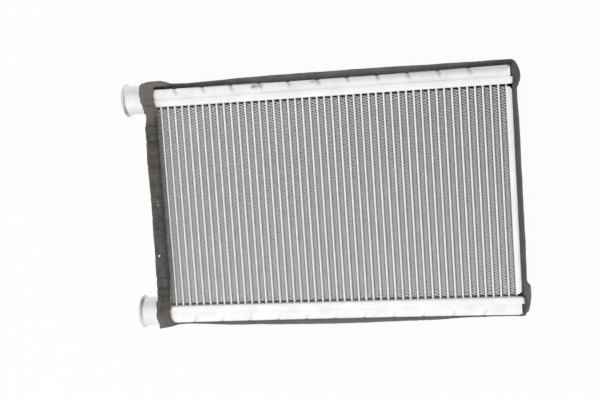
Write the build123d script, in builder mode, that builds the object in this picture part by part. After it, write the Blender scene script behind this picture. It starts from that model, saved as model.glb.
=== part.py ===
from build123d import *
import os

# Automotive heater core, brazed from aluminium, lying flat on its back.
# X runs along the tanks (the pipes point to -X), Y runs up the tubes to the upper tank,
# and Z is the way the air blows through. All sizes are in millimetres.

# Tubes and fins
tube_count = 47
tube_pitch = 4.5
tube_thickness = 1.3
tube_wall = 0.25
tube_recess = 1.7
tubes_per_group = 4
fin_half_length = 61.0
fin_end_gap = 1.5
fin_folds = 10
fin_stock = 0.27
fin_seat_gap = 0.01

# Header pans, which the tubes pass into
core_depth = 27.0
pan_height = 4.3
pan_wall = 1.35
pan_floor = 1.2
pan_bend = 1.2
pan_end_margin = 4.15
slot_clearance = 0.05
tube_stand_out = 0.9

# Tanks: a folded cover inside each pan, and a plate that closes each end
tank_height = 8.7
tank_wall = 1.2
tank_corner = 3.0
tank_side_clearance = 0.1
tank_end_clearance = 0.45
tank_foot_clearance = 0.3

# Side plates, folded channels outside the last fins
plate_sheet = 1.0
plate_flange = 3.85
plate_end_gap = 1.8
plate_corner = 2.0

# Pipe stubs: a round neck with a lip, and a flattened spigot that enters the tank
pipe_length = 17.5
neck_radius = 9.0
neck_wall = 1.0
lip_height = 1.5
lip_width = 2.0
pipe_floor = 1.6
pipe_drop = 0.65
spigot_shoulder = 0.75
spigot_wall = 0.8
spigot_margin = 0.55
spigot_reach = 1.5
spigot_clearance = 0.1

# Foam seals
foam_back = 2.0
foam_front = 2.0
foam_clearance = 0.2
foam_hole_clearance = 0.3
side_foam_thickness = 3.2
side_foam_lap = 4.9
fold_thickness = 4.2
upper_fold = 12.7
lower_fold = 6.7
tape_thickness = 3.0
tape_front = 1.5
tape_gap = 0.3

# Across the core, from its middle line outwards
fin_height = tube_pitch - tube_thickness
plate_web = tube_pitch * (tube_count - 1) / 2 + tube_thickness / 2 + fin_height
plate_outer = plate_web + plate_flange
pan_half_length = plate_web + plate_sheet + pan_end_margin
tank_half_length = pan_half_length - pan_wall - tank_end_clearance
pipe_reach = pan_half_length + pipe_length
core_x = (pipe_reach - pan_half_length - foam_clearance - tape_thickness) / 2

# Up the core, from its middle line to the tanks
header_front = fin_half_length + fin_end_gap
plate_half_length = header_front - plate_end_gap
tube_end = header_front + pan_floor + tube_stand_out
cover_foot = tube_end + tank_foot_clearance
tank_top = cover_foot + tank_height
spigot_y = (cover_foot + tank_top - tank_wall) / 2
spigot_height = tank_height - tank_wall - 2 * spigot_margin
pipe_axis_y = spigot_y - pipe_drop

# Through the core, from the surface that it lies on
core_back = foam_back
core_front = core_back + core_depth
mid_z = (core_back + core_front) / 2
foam_top = core_front + foam_front
tube_depth = core_depth - 2 * tube_recess
tube_back = core_back + tube_recess
cover_depth = core_depth - 2 * (pan_wall + tank_side_clearance)

# Slots and spigots
slot_width = tube_thickness + 2 * slot_clearance
slot_depth = tube_depth + 2 * slot_clearance
spigot_width = 2 * (neck_radius - spigot_shoulder)
spigot_length = pan_half_length - tank_half_length + tank_wall + spigot_reach


def level(z):
    """A plane flat against the core at height z, with its origin on the core's centre line."""
    return Plane(origin=(core_x, 0, z), x_dir=(1, 0, 0), z_dir=(0, 0, 1))


def header_plane(distance, outward):
    """A plane across the tubes, facing away from the core's middle on the upper or lower side."""
    return Plane(origin=(core_x, outward * distance, mid_z), x_dir=(1, 0, 0), z_dir=(0, outward, 0))


def end_plane(x, outward=1):
    """A plane across the tanks at x: its local x runs away from the core's middle line."""
    return Plane(origin=(core_x + x, 0, mid_z), x_dir=(0, outward, 0), z_dir=(1, 0, 0))


def save(part, label):
    part.label = label
    export_step(part, f"parts/{label}.step")


os.makedirs("parts", exist_ok=True)
sides = {"upper": 1, "lower": -1}
ends = {"left": -1, "right": 1}
tube_places = [(i - (tube_count - 1) / 2) * tube_pitch for i in range(tube_count)]
fin_places = [(i - tube_count / 2) * tube_pitch for i in range(tube_count + 1)]


# Header pans: shallow trays whose floors the tubes and the side plates' tabs pass through
def header_pan(label, outward):
    with BuildPart() as pan:
        with BuildSketch(header_plane(header_front, outward)):
            Rectangle(2 * pan_half_length, core_depth)
        extrude(amount=pan_height)
        floor_face = pan.faces().sort_by(Axis.Y)[0 if outward > 0 else -1]
        fillet(floor_face.edges(), pan_bend)
        with BuildSketch(header_plane(header_front + pan_floor, outward)):
            Rectangle(2 * (pan_half_length - pan_wall), core_depth - 2 * pan_wall)
        extrude(amount=pan_height, mode=Mode.SUBTRACT)
        with BuildSketch(header_plane(header_front, outward)):
            with GridLocations(tube_pitch, 0, tube_count, 1):
                Rectangle(slot_width, slot_depth)
            with Locations((plate_web + plate_sheet / 2, 0), (-plate_web - plate_sheet / 2, 0)):
                Rectangle(plate_sheet + 2 * slot_clearance, slot_depth)
        extrude(amount=pan_floor, mode=Mode.SUBTRACT)
        # The wall on the pipe's side is cut down where the flattened spigot passes over it
        notch_foot = spigot_y - spigot_height / 2 - spigot_clearance
        with BuildSketch(end_plane(-pan_half_length, outward)):
            with Locations((notch_foot, 0)):
                Rectangle(
                    pan_height, spigot_width + 2 * spigot_clearance, align=(Align.MIN, Align.CENTER)
                )
        extrude(amount=pan_wall, mode=Mode.SUBTRACT)
    save(pan.part, label)


for side, outward in sides.items():
    header_pan(f"{side}_header_pan", outward)


# Tank covers: sheet folded into a channel that stands inside the pan
def cover_line():
    """The outside of the cover's section, from one foot over the top to the other."""
    half = cover_depth / 2
    FilletPolyline(
        (cover_foot, -half), (tank_top, -half), (tank_top, half), (cover_foot, half), radius=tank_corner
    )


def tank_cover(label, outward):
    with BuildPart() as cover:
        with BuildSketch(end_plane(0, outward)):
            with BuildLine():
                cover_line()
                offset(amount=tank_wall, side=Side.LEFT)
            make_face()
        extrude(amount=tank_half_length - tank_wall, both=True)
    save(cover.part, label)


def end_cap(label, outward, hand):
    with BuildPart() as cap:
        with BuildSketch(end_plane(hand * tank_half_length, outward)):
            with BuildLine():
                cover_line()
                Line((cover_foot, -cover_depth / 2), (cover_foot, cover_depth / 2))
            make_face()
            if hand < 0:
                with Locations((spigot_y, 0)):
                    Rectangle(
                        spigot_height + 2 * spigot_clearance,
                        spigot_width + 2 * spigot_clearance,
                        mode=Mode.SUBTRACT,
                    )
        extrude(amount=-hand * tank_wall)
    save(cap.part, label)


for side, outward in sides.items():
    tank_cover(f"{side}_tank_cover", outward)
    for end, hand in ends.items():
        end_cap(f"{side}_{end}_end_cap", outward, hand)


# Pipe stubs: the shoulder seats on the pan's end, and the spigot enters the end cap
def mouth_plane(outward):
    """The plane of a pipe's mouth, centred on its axis and facing into the core."""
    return Plane(
        origin=(core_x - pipe_reach, outward * pipe_axis_y, mid_z), x_dir=(0, outward, 0), z_dir=(1, 0, 0)
    )


def pipe_stub(label, outward):
    mouth = mouth_plane(outward)
    spigot_offset = (spigot_y - pipe_axis_y, 0)
    with BuildPart() as pipe:
        with BuildSketch(mouth):
            Circle(neck_radius)
        extrude(amount=pipe_length)
        with BuildSketch(mouth):
            Circle(neck_radius + lip_height)
        extrude(amount=lip_width)
        with BuildSketch(mouth.offset(pipe_length)):
            with Locations(spigot_offset):
                Rectangle(spigot_height, spigot_width)
        extrude(amount=spigot_length)
        with BuildSketch(mouth):
            Circle(neck_radius - neck_wall)
        extrude(amount=pipe_length - pipe_floor, mode=Mode.SUBTRACT)
        with BuildSketch(mouth.offset(pipe_length + spigot_length)):
            with Locations(spigot_offset):
                Rectangle(spigot_height - 2 * spigot_wall, spigot_width - 2 * spigot_wall)
        extrude(amount=-(spigot_length + pipe_floor), mode=Mode.SUBTRACT)
    save(pipe.part, label)


for side, outward in sides.items():
    pipe_stub(f"{side}_pipe", outward)


# Side plates: a web against the last fins, two flanges, and tabs that enter the headers
for end, hand in ends.items():
    with BuildPart() as plate:
        with BuildSketch(end_plane(hand * plate_web)):
            Rectangle(2 * tube_end, tube_depth)
        extrude(amount=hand * plate_sheet)
        for flange_back in (tube_back, tube_back + tube_depth - plate_sheet):
            with BuildSketch(level(flange_back)):
                with Locations((hand * (plate_web + plate_flange / 2), 0)):
                    flange = Rectangle(plate_flange, 2 * plate_half_length)
                    chamfer(flange.vertices().group_by(Axis.X)[-1 if hand > 0 else 0], plate_corner)
            extrude(amount=plate_sheet)
    save(plate.part, f"{end}_side_plate")


# Tubes: flat and hollow, with their narrow noses to the front and back, open into both tanks
group_count = -(-tube_count // tubes_per_group)


def in_group(places, group):
    """The places of one group's tubes or fins; the last group takes what is left."""
    last = None if group == group_count - 1 else (group + 1) * tubes_per_group
    return places[group * tubes_per_group : last]


for group in range(group_count):
    with BuildPart() as tubes:
        with BuildSketch(header_plane(0, 1)):
            with Locations(*[(x, 0) for x in in_group(tube_places, group)]):
                Rectangle(tube_thickness, tube_depth)
                Rectangle(tube_thickness - 2 * tube_wall, tube_depth - 2 * tube_wall, mode=Mode.SUBTRACT)
        extrude(amount=tube_end, both=True)
    save(tubes.part, f"tubes_{group + 1:02d}")


# Fins: folded strip between the tubes, its crests brazed to them, with fewer folds than the real one
def fin_outline():
    leg_rise = 2 * fin_half_length / fin_folds
    reach = fin_height / 2 - fin_seat_gap
    slant = (1 + (fin_height / leg_rise) ** 2) ** 0.5
    half_stock = fin_stock * slant / 2
    swing = reach - half_stock
    folds = [(-swing if i % 2 else swing, i * leg_rise - fin_half_length) for i in range(fin_folds + 1)]
    right_side = [(x + half_stock, y) for x, y in folds]
    left_side = [(x - half_stock, y) for x, y in folds]
    return right_side + left_side[::-1]


for group in range(group_count):
    with BuildPart() as fins:
        with BuildSketch(level(tube_back)):
            with Locations(*[(x, 0) for x in in_group(fin_places, group)]):
                Polygon(*fin_outline(), align=None)
        extrude(amount=tube_depth)
    save(fins.part, f"fins_{group + 1:02d}")


# Foam: one wide piece wraps the side with the pipes, a narrow tape runs round the other three
with BuildSketch() as core_outline:
    for outward in sides.values():
        with BuildLine():
            Polyline(
                (-pan_half_length, outward * header_front),
                (-pan_half_length, outward * (header_front + pan_height)),
                (-tank_half_length, outward * tank_top),
                (tank_half_length, outward * tank_top),
                (pan_half_length, outward * (header_front + pan_height)),
                (pan_half_length, outward * header_front),
                close=True,
            )
        make_face()
    Rectangle(2 * plate_outer, 2 * header_front)


def silhouette(gap):
    """The outline of tanks and side plates together, stood off by a gap."""
    add(core_outline.sketch)
    offset(amount=gap, kind=Kind.INTERSECTION)


def beyond(x, side_of_x, outward):
    """A broad rectangle over the upper or the lower half, on one side of x."""
    with Locations((x, 0)):
        Rectangle(
            4 * pan_half_length, 2 * tank_top, align=(side_of_x, Align.MIN if outward > 0 else Align.MAX)
        )


fold_ends = {1: upper_fold - tank_half_length, -1: lower_fold - tank_half_length}

with BuildPart() as side_foam:
    with BuildSketch(level(0)):
        silhouette(foam_clearance + side_foam_thickness)
    extrude(amount=foam_top)
    with BuildSketch(level(0)):
        for outward, fold_end in fold_ends.items():
            beyond(fold_end, Align.MIN, outward)
    extrude(amount=foam_top, mode=Mode.SUBTRACT)
    # Its ends are folded over the tanks' outer sides, where they lie thicker
    with BuildSketch(level(0)):
        for outward, fold_end in fold_ends.items():
            with Locations((fold_end, outward * (tank_top + foam_clearance))):
                Rectangle(
                    fold_end + tank_half_length + foam_clearance + side_foam_thickness,
                    fold_thickness,
                    align=(Align.MAX, Align.MIN if outward > 0 else Align.MAX),
                )
    extrude(amount=foam_top)
    # The core lies inside, and only the laps stay in front of it and behind it
    with BuildSketch(level(core_back - foam_clearance)):
        silhouette(foam_clearance)
    extrude(amount=core_depth + 2 * foam_clearance, mode=Mode.SUBTRACT)
    with BuildSketch(level(0)):
        with Locations((side_foam_lap - plate_outer, 0)):
            Rectangle(
                2 * pan_half_length, 2 * (tank_top + foam_clearance), align=(Align.MIN, Align.CENTER)
            )
    extrude(amount=foam_top, mode=Mode.SUBTRACT)
    for outward in sides.values():
        with BuildSketch(mouth_plane(outward)):
            Circle(neck_radius + foam_hole_clearance)
        extrude(amount=pipe_reach - tank_half_length, mode=Mode.SUBTRACT)
save(side_foam.part, "pipe_side_foam")

with BuildPart() as tape:
    with BuildSketch(level(0)):
        silhouette(foam_clearance + tape_thickness)
    extrude(amount=core_front + tape_front)
    with BuildSketch(level(0)):
        silhouette(foam_clearance)
        for outward, fold_end in fold_ends.items():
            beyond(fold_end + tape_gap, Align.MAX, outward)
    extrude(amount=core_front + tape_front, mode=Mode.SUBTRACT)
save(tape.part, "edge_foam_tape")
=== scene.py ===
# %% [markdown]
# A car's heater core, dressed for a picture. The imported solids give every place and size, and
# this lesson builds the surfaces that the eye sees around them: the folded fin strips, the flat
# tubes with round noses, the brazed tanks, the pipe stubs and the foam seals.
# Everything is in metres in the part's frame. Named sizes are in millimetres, times MM.

# %% Load the fixed frame
import math

import bmesh
import bpy
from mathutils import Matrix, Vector, noise


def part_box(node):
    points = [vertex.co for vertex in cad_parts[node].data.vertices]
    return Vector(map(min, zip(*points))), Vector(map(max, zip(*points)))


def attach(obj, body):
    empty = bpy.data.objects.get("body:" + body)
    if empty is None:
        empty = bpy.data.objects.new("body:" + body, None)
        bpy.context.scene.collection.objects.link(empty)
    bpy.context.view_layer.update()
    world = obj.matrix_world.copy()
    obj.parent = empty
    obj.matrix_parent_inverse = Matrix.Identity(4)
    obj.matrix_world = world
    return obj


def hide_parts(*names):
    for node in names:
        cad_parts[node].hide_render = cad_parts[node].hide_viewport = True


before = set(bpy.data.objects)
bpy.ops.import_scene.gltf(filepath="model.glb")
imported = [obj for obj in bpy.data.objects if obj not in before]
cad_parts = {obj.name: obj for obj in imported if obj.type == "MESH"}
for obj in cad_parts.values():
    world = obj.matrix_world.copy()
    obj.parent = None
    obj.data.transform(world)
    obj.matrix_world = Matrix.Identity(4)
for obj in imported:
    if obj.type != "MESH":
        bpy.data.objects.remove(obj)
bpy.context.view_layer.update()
MM = 0.001
CORE_X = 7.15
MID_Z = 15.5
SIDES = {"upper": 1, "lower": -1}
print("CAD nodes:", len(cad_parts))

# %% [markdown]
# The picture was taken from above, a little to the right of the core and level with its upper
# tank. The camera's place, turn and lens come from fitting the lines of the 47 tubes, so the
# new pieces fall where the photograph shows them.

# %% Camera
camera_data = bpy.data.cameras.new("photo_camera")
camera_data.sensor_width = 36
camera_data.lens = 67.82
camera_data.clip_start = 0.01
camera_data.clip_end = 50
camera = bpy.data.objects.new("photo_camera", camera_data)
camera.location = (0.1405, 0.06658, 0.69644)
camera.rotation_euler = [math.radians(a) for a in (-6.366, 12.418, -4.027)]
bpy.context.scene.collection.objects.link(camera)
bpy.context.scene.camera = camera
bpy.context.scene.view_settings.view_transform = "Standard"
print("Camera height above the floor, mm:", round(camera.location.z / MM))


# %% [markdown]
# Materials are node trees. One small function adds a node, sets it and links its inputs, and
# another turns a colour written as sRGB hex into the linear numbers that a shader works with.

# %% Node helpers
def linear(hex_colour):
    """The linear colour of an sRGB hex value such as d9d9dc."""
    channels = [int(hex_colour[i : i + 2], 16) / 255 for i in (0, 2, 4)]
    return [c / 12.92 if c <= 0.04045 else ((c + 0.055) / 1.055) ** 2.4 for c in channels] + [1.0]


def add_node(tree, kind, inputs=None, **settings):
    """Adds one node. inputs gives a socket a value, or the output socket that feeds it."""
    node = tree.nodes.new(kind)
    for name, value in settings.items():
        setattr(node, name, value)
    for socket, value in (inputs or {}).items():
        if isinstance(value, bpy.types.NodeSocket):
            tree.links.new(value, node.inputs[socket])
        else:
            node.inputs[socket].default_value = value
    return node


def start_material(name, roughness, metallic):
    """A material with an empty tree, one shader and the object's own coordinates."""
    material = bpy.data.materials.new(name)
    material.use_nodes = True
    tree = material.node_tree
    tree.nodes.clear()
    shader = add_node(
        tree, "ShaderNodeBsdfPrincipled", {"Roughness": roughness, "Metallic": metallic}
    )
    add_node(tree, "ShaderNodeOutputMaterial", {"Surface": shader.outputs[0]})
    place = add_node(tree, "ShaderNodeTexCoord").outputs["Object"]
    return material, tree, shader, place


# %% [markdown]
# The floor is stage. The photograph's ground is plain white, so the floor's colour is pale and
# the camera sees most of it as plain white. Right under the core it is painted dark grey, a
# painted shadow, and takes real shade too, because the fins let the eye through to it.

# %% Floor
WHITE = (1.0, 1.0, 1.0, 1.0)
WHITE_SHARE = 0.94
# The floor right under the core: an axis, the middle on it and half the length, in millimetres
UNDER_CORE = (("X", CORE_X, 113.3), ("Y", 0.0, 75.0))
bpy.ops.object.select_all(action="DESELECT")
bpy.ops.mesh.primitive_plane_add(size=8, location=(0, 0, 0))
floor = bpy.context.object
floor.name = "floor"

floor_material, tree, shader, place = start_material("white_floor", 0.9, 0.0)
axes = add_node(tree, "ShaderNodeSeparateXYZ", {0: place})
past = []
for axis, middle, reach in UNDER_CORE:
    offset = add_node(
        tree, "ShaderNodeMath", {0: axes.outputs[axis], 1: middle * MM}, operation="SUBTRACT"
    )
    away = add_node(tree, "ShaderNodeMath", {0: offset.outputs[0]}, operation="ABSOLUTE")
    beyond = add_node(
        tree, "ShaderNodeMath", {0: away.outputs[0], 1: reach * MM}, operation="GREATER_THAN"
    )
    past.append(beyond.outputs[0])
open_floor = add_node(tree, "ShaderNodeMath", {0: past[0], 1: past[1]}, operation="MAXIMUM")
# Painted shadow: under the core the floor's colour is dark grey instead of pale
floor_colour_with_painted_shadow = add_node(
    tree,
    "ShaderNodeMix",
    {0: open_floor.outputs[0], 6: linear("6a6a6a"), 7: linear("f4f4f4")},
    data_type="RGBA",
)
tree.links.new(floor_colour_with_painted_shadow.outputs[2], shader.inputs["Base Color"])
rays = add_node(tree, "ShaderNodeLightPath")
seen = rays.outputs["Is Camera Ray"]
for ray in ("Is Glossy Ray", "Is Transmission Ray"):
    either = add_node(tree, "ShaderNodeMath", {0: seen, 1: rays.outputs[ray]}, operation="MAXIMUM")
    seen = either.outputs[0]
seen_open = add_node(
    tree, "ShaderNodeMath", {0: seen, 1: open_floor.outputs[0]}, operation="MULTIPLY"
)
share = add_node(
    tree, "ShaderNodeMath", {0: seen_open.outputs[0], 1: WHITE_SHARE}, operation="MULTIPLY"
)
plain_white = add_node(tree, "ShaderNodeEmission", {"Color": WHITE, "Strength": 1.0})
mixed = add_node(
    tree,
    "ShaderNodeMixShader",
    {0: share.outputs[0], 1: shader.outputs[0], 2: plain_white.outputs[0]},
)
tree.links.new(mixed.outputs[0], tree.nodes["Material Output"].inputs["Surface"])
floor.data.materials.append(floor_material)
print("Floor, m:", [round(size, 2) for size in floor.dimensions])

# %% [markdown]
# The light is soft and comes mostly from above, from the left and from the lower tank's side. So
# the dome is dimmer past the upper tank and on the right, and the tubes shade the fins on their
# right. The camera sees the dome as plain white.

# %% World
DOME_LEVEL = 1.09
# An axis, where the dome begins and ends to dim along it, and the colour that it dims by
DOME_DIMMING = (
    ("Y", 0.4, 1.0, (0.55, 0.55, 0.59, 1.0)),
    ("X", -0.2, 0.8, (0.79, 0.79, 0.8, 1.0)),
)
world = bpy.data.worlds.new("soft_dome")
bpy.context.scene.world = world
world.use_nodes = True
tree = world.node_tree
tree.nodes.clear()
direction = add_node(tree, "ShaderNodeTexCoord").outputs["Generated"]
axes = add_node(tree, "ShaderNodeSeparateXYZ", {0: direction})
dome_colour = WHITE
for axis, begins, ends, dim in DOME_DIMMING:
    amount = add_node(
        tree,
        "ShaderNodeMapRange",
        {"Value": axes.outputs[axis], "From Min": begins, "From Max": ends},
        interpolation_type="SMOOTHSTEP",
    )
    dimmed = add_node(
        tree,
        "ShaderNodeMix",
        {0: amount.outputs[0], 6: dome_colour, 7: dim},
        data_type="RGBA",
        blend_type="MULTIPLY",
    )
    dome_colour = dimmed.outputs[2]
dome = add_node(tree, "ShaderNodeBackground", {"Color": dome_colour, "Strength": DOME_LEVEL})
white_dome = add_node(tree, "ShaderNodeBackground", {"Color": WHITE, "Strength": 1.0})
rays = add_node(tree, "ShaderNodeLightPath")
seen_dome = add_node(
    tree,
    "ShaderNodeMixShader",
    {0: rays.outputs["Is Camera Ray"], 1: dome.outputs[0], 2: white_dome.outputs[0]},
)
add_node(tree, "ShaderNodeOutputWorld", {"Surface": seen_dome.outputs[0]})
print("Dome level:", DOME_LEVEL)

# %% [markdown]
# One large soft lamp stands on the lower tank's side, as a window would, and gives the bends of
# the covers and the necks of the pipes their gentle bright side.

# %% Lamp
LAMP_PLACE = (-0.2, -0.9, 1.4)
lamp_data = bpy.data.lights.new("window_light", "AREA")
lamp_data.shape = "RECTANGLE"
lamp_data.size = 1.4
lamp_data.size_y = 1.0
lamp_data.energy = 1.1
lamp = bpy.data.objects.new("window_light", lamp_data)
lamp.location = LAMP_PLACE
lamp.rotation_euler = Vector(LAMP_PLACE).to_track_quat("Z", "Y").to_euler()
bpy.context.scene.collection.objects.link(lamp)
print("Lamp energy, W:", lamp_data.energy)

# %% [markdown]
# The headers and tanks are aluminium sheet brazed in a furnace: a pale matt metal with a faint
# cloudy film of flux. The cloud is a noise about 9 mm wide in colour and roughness, and a much
# finer one gives the grain of the rolled sheet. A few grey handling smudges lie on the tanks
# where the photograph shows them, and a grey painted shade that vertices carry is mixed in.

# %% Brazed sheet
# Each smudge: its place from the core's middle, half its width and height, and its strength
SMUDGES = (
    (-42.7, 71.4, 3.8, 2.3, 0.8),
    (-38.2, 71.6, 2.2, 1.6, 0.5),
    (-6.0, 71.9, 3.6, 1.5, 0.5),
    (-17.1, -65.7, 0.7, 0.7, 0.6),
)
SMUDGE_Z = 27.0
SMUDGE_DEPTH = 3.0


def add_smudges(tree, place, colour):
    """Mixes the handling smudges into a colour and returns the new colour socket."""
    grain = add_node(
        tree, "ShaderNodeTexNoise", {"Vector": place, "Scale": 900, "Detail": 3.0}
    )
    for x, y, wide, high, strength in SMUDGES:
        centred = add_node(
            tree,
            "ShaderNodeVectorMath",
            {0: place, 1: ((x + CORE_X) * MM, y * MM, SMUDGE_Z * MM)},
            operation="SUBTRACT",
        )
        spread = add_node(
            tree,
            "ShaderNodeVectorMath",
            {0: centred.outputs[0], 1: [1 / (size * MM) for size in (wide, high, SMUDGE_DEPTH)]},
            operation="MULTIPLY",
        )
        distance = add_node(
            tree, "ShaderNodeVectorMath", {0: spread.outputs[0]}, operation="LENGTH"
        )
        ragged = add_node(
            tree,
            "ShaderNodeMath",
            {0: grain.outputs[0], 1: 0.9, 2: distance.outputs["Value"]},
            operation="MULTIPLY_ADD",
        )
        cover = add_node(
            tree,
            "ShaderNodeMapRange",
            {
                "Value": ragged.outputs[0],
                "From Min": 0.5,
                "From Max": 1.5,
                "To Min": strength,
                "To Max": 0.0,
            },
            interpolation_type="SMOOTHSTEP",
        )
        mixed = add_node(
            tree,
            "ShaderNodeMix",
            {0: cover.outputs[0], 6: colour, 7: linear("7d7974")},
            data_type="RGBA",
        )
        colour = mixed.outputs[2]
    return colour


def brazed_sheet(name, pale, dull, roughness):
    """Furnace-brazed aluminium sheet: cloudy flux film, fine rolled grain, soft sheen."""
    material, tree, shader, place = start_material(name, roughness, 0.85)
    cloud = add_node(
        tree, "ShaderNodeTexNoise", {"Vector": place, "Scale": 1 / (9 * MM), "Detail": 4.0}
    )
    grey_share = add_node(
        tree,
        "ShaderNodeMapRange",
        {"Value": cloud.outputs[0], "From Min": 0.38, "From Max": 0.66},
    )
    base = add_node(
        tree,
        "ShaderNodeMix",
        {0: grey_share.outputs[0], 6: linear(pale), 7: linear(dull)},
        data_type="RGBA",
    )
    # Vertices may carry a grey painted shade, mixed into the sheet's colour
    painted_shade = add_node(tree, "ShaderNodeAttribute", attribute_name="painted_shade")
    soiled = add_node(
        tree,
        "ShaderNodeMix",
        {0: painted_shade.outputs["Fac"], 6: base.outputs[2], 7: linear("aeabb0")},
        data_type="RGBA",
    )
    tree.links.new(add_smudges(tree, place, soiled.outputs[2]), shader.inputs["Base Color"])
    matt = add_node(
        tree,
        "ShaderNodeMapRange",
        {
            "Value": cloud.outputs[0],
            "From Min": 0.3,
            "From Max": 0.7,
            "To Min": roughness - 0.06,
            "To Max": roughness + 0.08,
        },
    )
    tree.links.new(matt.outputs[0], shader.inputs["Roughness"])
    grain = add_node(
        tree, "ShaderNodeTexNoise", {"Vector": place, "Scale": 1 / (0.9 * MM), "Detail": 5.0}
    )
    bump = add_node(
        tree,
        "ShaderNodeBump",
        {"Height": grain.outputs[0], "Strength": 0.5, "Distance": 0.03 * MM},
    )
    tree.links.new(bump.outputs[0], shader.inputs["Normal"])
    return material


tank_metal = brazed_sheet("brazed_aluminium_tank", "f1f1f1", "e9e9eb", 0.42)
header_metal = brazed_sheet("brazed_aluminium_header", "f4f3f3", "ededee", 0.46)
print("Sheet materials:", tank_metal.name, header_metal.name)

# %% [markdown]
# Tubes are folded from clad strip and come out of the furnace a smooth pale metal. Fin strip
# is rolled to under a tenth of a millimetre and cut with louvres, rows of slats across the
# air's way. They lie about 1 mm apart, deep between the tubes, so a bump carries them, drawn
# 2 mm apart because finer ones don't show.


# %% Tube and fin strip
def clad_strip(name, pale, dull, roughness, cloud_size, metallic=0.8):
    """Rolled aluminium strip, dulled by flux, with patches of brighter and duller surface."""
    material, tree, shader, place = start_material(name, roughness, metallic)
    patches = add_node(
        tree, "ShaderNodeTexNoise", {"Vector": place, "Scale": 1 / cloud_size, "Detail": 3.0}
    )
    share = add_node(
        tree,
        "ShaderNodeMapRange",
        {"Value": patches.outputs[0], "From Min": 0.35, "From Max": 0.65},
    )
    base = add_node(
        tree,
        "ShaderNodeMix",
        {0: share.outputs[0], 6: linear(pale), 7: linear(dull)},
        data_type="RGBA",
    )
    tree.links.new(base.outputs[2], shader.inputs["Base Color"])
    return material, tree, shader, place


tube_metal = clad_strip("clad_aluminium_tube", "f1f1f1", "e6e6e6", 0.36, 4 * MM)[0]
fin_metal, tree, shader, place = clad_strip(
    "rolled_aluminium_fin", "fdfdfc", "f5f5f5", 0.42, 2.5 * MM, metallic=0.3
)
# The wave repeats at 0.314 of its scale, so these bands are 2 mm apart
louvres = add_node(
    tree,
    "ShaderNodeTexWave",
    {"Vector": place, "Scale": 1 / (6.3 * MM), "Distortion": 0.0},
    bands_direction="Z",
)
bump = add_node(
    tree,
    "ShaderNodeBump",
    {"Height": louvres.outputs["Fac"], "Strength": 0.35, "Distance": 0.15 * MM},
)
tree.links.new(bump.outputs[0], shader.inputs["Normal"])
print("Strip materials:", tube_metal.name, fin_metal.name)

# %% [markdown]
# The side plate is plain aluminium sheet, slightly warmer than the tanks. The pipe stubs are
# drawn from tube, so their grain runs round them, and they turn bluish grey at the rolled lip.

# %% Side plate and pipe metal
plate_metal = clad_strip("aluminium_side_plate", "f6f5f1", "ecebe6", 0.45, 12 * MM)[0]

# The bluish grey is strongest at the mouth and gone within 2 mm
TINT_X = (-122.8, -121.0)
pipe_metal, tree, shader, place = clad_strip(
    "drawn_aluminium_pipe", "f4f3f3", "eceaea", 0.48, 7 * MM
)
stretched = add_node(tree, "ShaderNodeMapping", {"Vector": place, "Scale": (6.0, 1.0, 1.0)})
rings = add_node(
    tree,
    "ShaderNodeTexNoise",
    {"Vector": stretched.outputs[0], "Scale": 1 / (3.0 * MM), "Detail": 3.0},
)
bump = add_node(
    tree, "ShaderNodeBump", {"Height": rings.outputs[0], "Strength": 0.4, "Distance": 0.03 * MM}
)
tree.links.new(bump.outputs[0], shader.inputs["Normal"])
axes = add_node(tree, "ShaderNodeSeparateXYZ", {0: place})
tint = add_node(
    tree,
    "ShaderNodeMapRange",
    {
        "Value": axes.outputs["X"],
        "From Min": TINT_X[0] * MM,
        "From Max": TINT_X[1] * MM,
        "To Min": 0.7,
        "To Max": 0.0,
    },
)
old_colour = shader.inputs["Base Color"].links[0].from_socket
tinted = add_node(
    tree,
    "ShaderNodeMix",
    {0: tint.outputs[0], 6: old_colour, 7: linear("a9b9cf")},
    data_type="RGBA",
)
tree.links.new(tinted.outputs[2], shader.inputs["Base Color"])
print("Plate and pipe materials:", plate_metal.name, pipe_metal.name)

# %% [markdown]
# The seals are open-cell foam, dark brown-grey and dull. Cells about half a millimetre wide
# give it its grain, dust gathers in soft pale patches, and the cut edges are a little warmer.


# %% Foam
# What a piece's vertices may be marked with, its colour, and how much of the foam it hides
# The shade and crease marks are painted shade: darker inner sides and creases
FOAM_MARKS = (("wear", "7f7973", 0.6), ("shade", "35333b", 0.85), ("crease_and_shade", "2b2826", 0.8))
# Each pale speck on the wide piece's face: its place, its radius and its colour
SPECKS = (
    (-110.9, -30.0, 0.75, "f4f4f4"),
    (-108.8, 2.1, 0.5, "b9b6b2"),
    (-108.9, 4.2, 0.45, "a9a6a2"),
)
SPECK_Z = 31


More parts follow.
